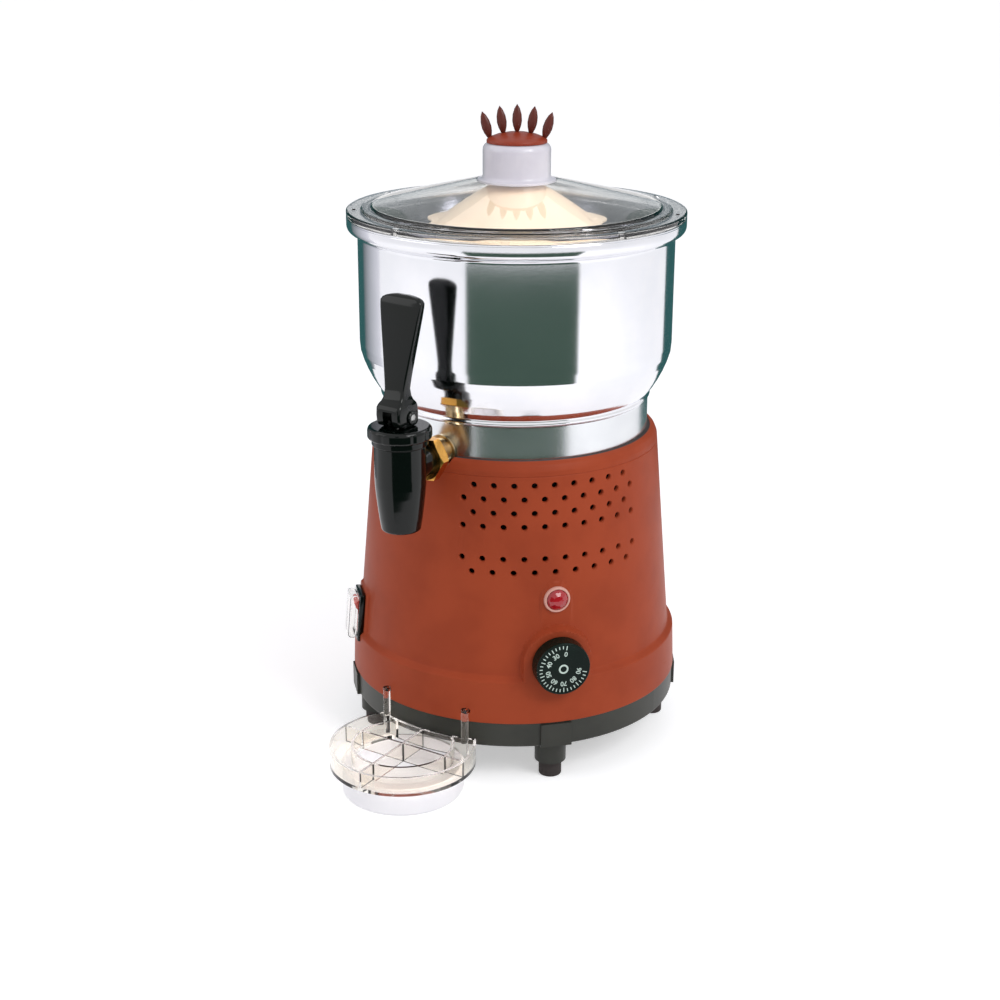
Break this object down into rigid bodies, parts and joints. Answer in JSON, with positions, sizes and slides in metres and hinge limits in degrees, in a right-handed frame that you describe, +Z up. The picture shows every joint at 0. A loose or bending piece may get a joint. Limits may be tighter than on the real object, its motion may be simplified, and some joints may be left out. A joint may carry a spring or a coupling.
{
  "type": "hot chocolate dispenser",
  "caption": "Table-top hot chocolate dispenser: stirred steel bowl with clear lid on a round vented motor base, with lever tap, control dial, rocker switch and drip tray.",
  "frame": {"origin": "point of the machine's upright axis on the surface that its feet stand on", "axes": "+Z up along the machine's axis, -Y towards the tap and the person who serves, +X to their right"},
  "size_m": [0.2648, 0.3614, 0.5005],
  "materials": {
    "terracotta_shell": "smooth moulded shell, satin gloss",
    "charcoal_plastic": "fine-grained moulding",
    "black_rubber": "soft matt",
    "polished_steel": "mirror polished outside",
    "plain_steel": "zinc plated or bright drawn",
    "winding": "varnished laminations and copper winding",
    "gearbox_alloy": "die cast",
    "acetal": "moulded gears",
    "bronze": "sintered bush",
    "brass": "machined, bright",
    "plated_brass": "nickel plated thread and washer",
    "clear_plastic": "clear polycarbonate",
    "white_plastic": "smooth white moulding",
    "black_gloss": "glossy moulding",
    "cream_plastic": "food-safe moulding",
    "cap_brown": "satin moulding",
    "ornament_brown": "satin moulding",
    "dial_green": "dark dial with white figures",
    "lamp_red": "faceted red lens",
    "lamp_rim": "pale bezel",
    "lamp_case": "lamp holder",
    "rocker_red": "illuminated rocker"
  },
  "bodies": {
    "machine": {"base_tray": "charcoal_plastic", "rubber_feet": "black_rubber", "base_screws": "plain_steel", "housing": "terracotta_shell", "collar_gasket": "black_rubber", "chassis_plate": "plain_steel", "pillars": "plain_steel", "terminal_block": "charcoal_plastic", "cable_gland": "charcoal_plastic", "gland_nut": "charcoal_plastic", "thermostat_body": "charcoal_plastic", "lamp_bezel": "lamp_rim", "lamp_lens": "lamp_red", "lamp_body": "lamp_case", "switch_frame": "black_gloss", "switch_boot": "clear_plastic", "water_jacket": "polished_steel", "product_bowl": "polished_steel", "column_tube": "plain_steel", "heating_element": "plain_steel", "safety_cutout": "plain_steel", "idler_pin": "plain_steel", "motor_can": "plain_steel", "motor_stator": "winding", "motor_end_plate": "plain_steel", "motor_screws": "plain_steel", "gearbox_case": "gearbox_alloy", "gearbox_cover": "gearbox_alloy", "gearbox_screws": "plain_steel", "lower_bush": "bronze", "upper_bush": "bronze", "shaft_seal": "black_rubber", "tap_body": "black_gloss", "bonnet": "black_gloss", "bonnet_gasket": "black_rubber", "tap_spring": "plain_steel", "nipple": "plated_brass", "hex_nut": "brass", "inlet_washer": "plated_brass", "inner_nut": "plain_steel"},
    "dial": {"dial_knob": "dial_green", "thermostat_shaft": "plain_steel"},
    "rocker": {"switch_rocker": "rocker_red"},
    "stirrer": {"drive_shaft": "plain_steel", "output_wheel": "acetal", "stirrer_sleeve": "cream_plastic", "stirrer_cone": "cream_plastic"},
    "idler": {"idler_gear": "acetal"},
    "rotor": {"motor_rotor": "plain_steel"},
    "lid": {"lid": "clear_plastic"},
    "cap": {"lid_cap": "cap_brown", "cap_ornament": "ornament_brown"},
    "tap_stem": {"valve_stem": "plain_steel", "plunger_seal": "black_rubber", "lever_pin": "plain_steel"},
    "lever": {"tap_lever": "black_gloss"},
    "grille": {"drip_grille": "clear_plastic"},
    "cup": {"drip_cup": "white_plastic"}
  },
  "joints": [
    {"name": "dial_turn", "type": "hinge", "parent": "machine", "child": "dial", "pos_m": [0.09607, -0.09053, 0.1005], "axis": [0.7278, -0.6858, 0], "range_deg": [-265, 0]},
    {"name": "rocker_tip", "type": "hinge", "parent": "machine", "child": "rocker", "pos_m": [-0.08783, -0.08783, 0.09849], "axis": [0.7071, -0.7071, 0], "range_deg": [-18, 0]},
    {"name": "stirrer_spin", "type": "hinge", "parent": "machine", "child": "stirrer", "pos_m": [0, 0, 0.2], "axis": [0, 0, 1], "continuous": true},
    {"name": "idler_spin", "type": "hinge", "parent": "machine", "child": "idler", "pos_m": [0, 0.0375, 0.175], "axis": [0, 0, 1], "continuous": true},
    {"name": "motor_spin", "type": "hinge", "parent": "machine", "child": "rotor", "pos_m": [0, 0, 0.14], "axis": [0, 0, 1], "continuous": true},
    {"name": "lid_lift", "type": "slide", "parent": "machine", "child": "lid", "axis": [0, 0, 1], "range_m": [0, 0.12]},
    {"name": "cap_lift", "type": "slide", "parent": "lid", "child": "cap", "axis": [0, 0, 1], "range_m": [0, 0.04]},
    {"name": "stem_lift", "type": "slide", "parent": "machine", "child": "tap_stem", "axis": [0, 0, 1], "range_m": [0, 0.006], "deforming": ["tap_spring"]},
    {"name": "lever_tilt", "type": "hinge", "parent": "tap_stem", "child": "lever", "pos_m": [0, -0.158, 0.2965], "axis": [1, 0, 0], "range_deg": [0, 50], "stiffness_Nm_per_rad": 0.6, "springref_deg": -20.05},
    {"name": "grille_draw", "type": "slide", "parent": "machine", "child": "grille", "axis": [0, -1, 0], "range_m": [0, 0.08]},
    {"name": "cup_draw", "type": "slide", "parent": "machine", "child": "cup", "axis": [0, -1, 0], "range_m": [0, 0.12]}
  ],
  "couplings": [
    {"joint": "idler_spin", "follows": "stirrer_spin", "ratio": -4},
    {"joint": "motor_spin", "follows": "stirrer_spin", "ratio": 16},
    {"joint": "stem_lift", "follows": "lever_tilt", "m_per_rad": 0.0068754}
  ]
}
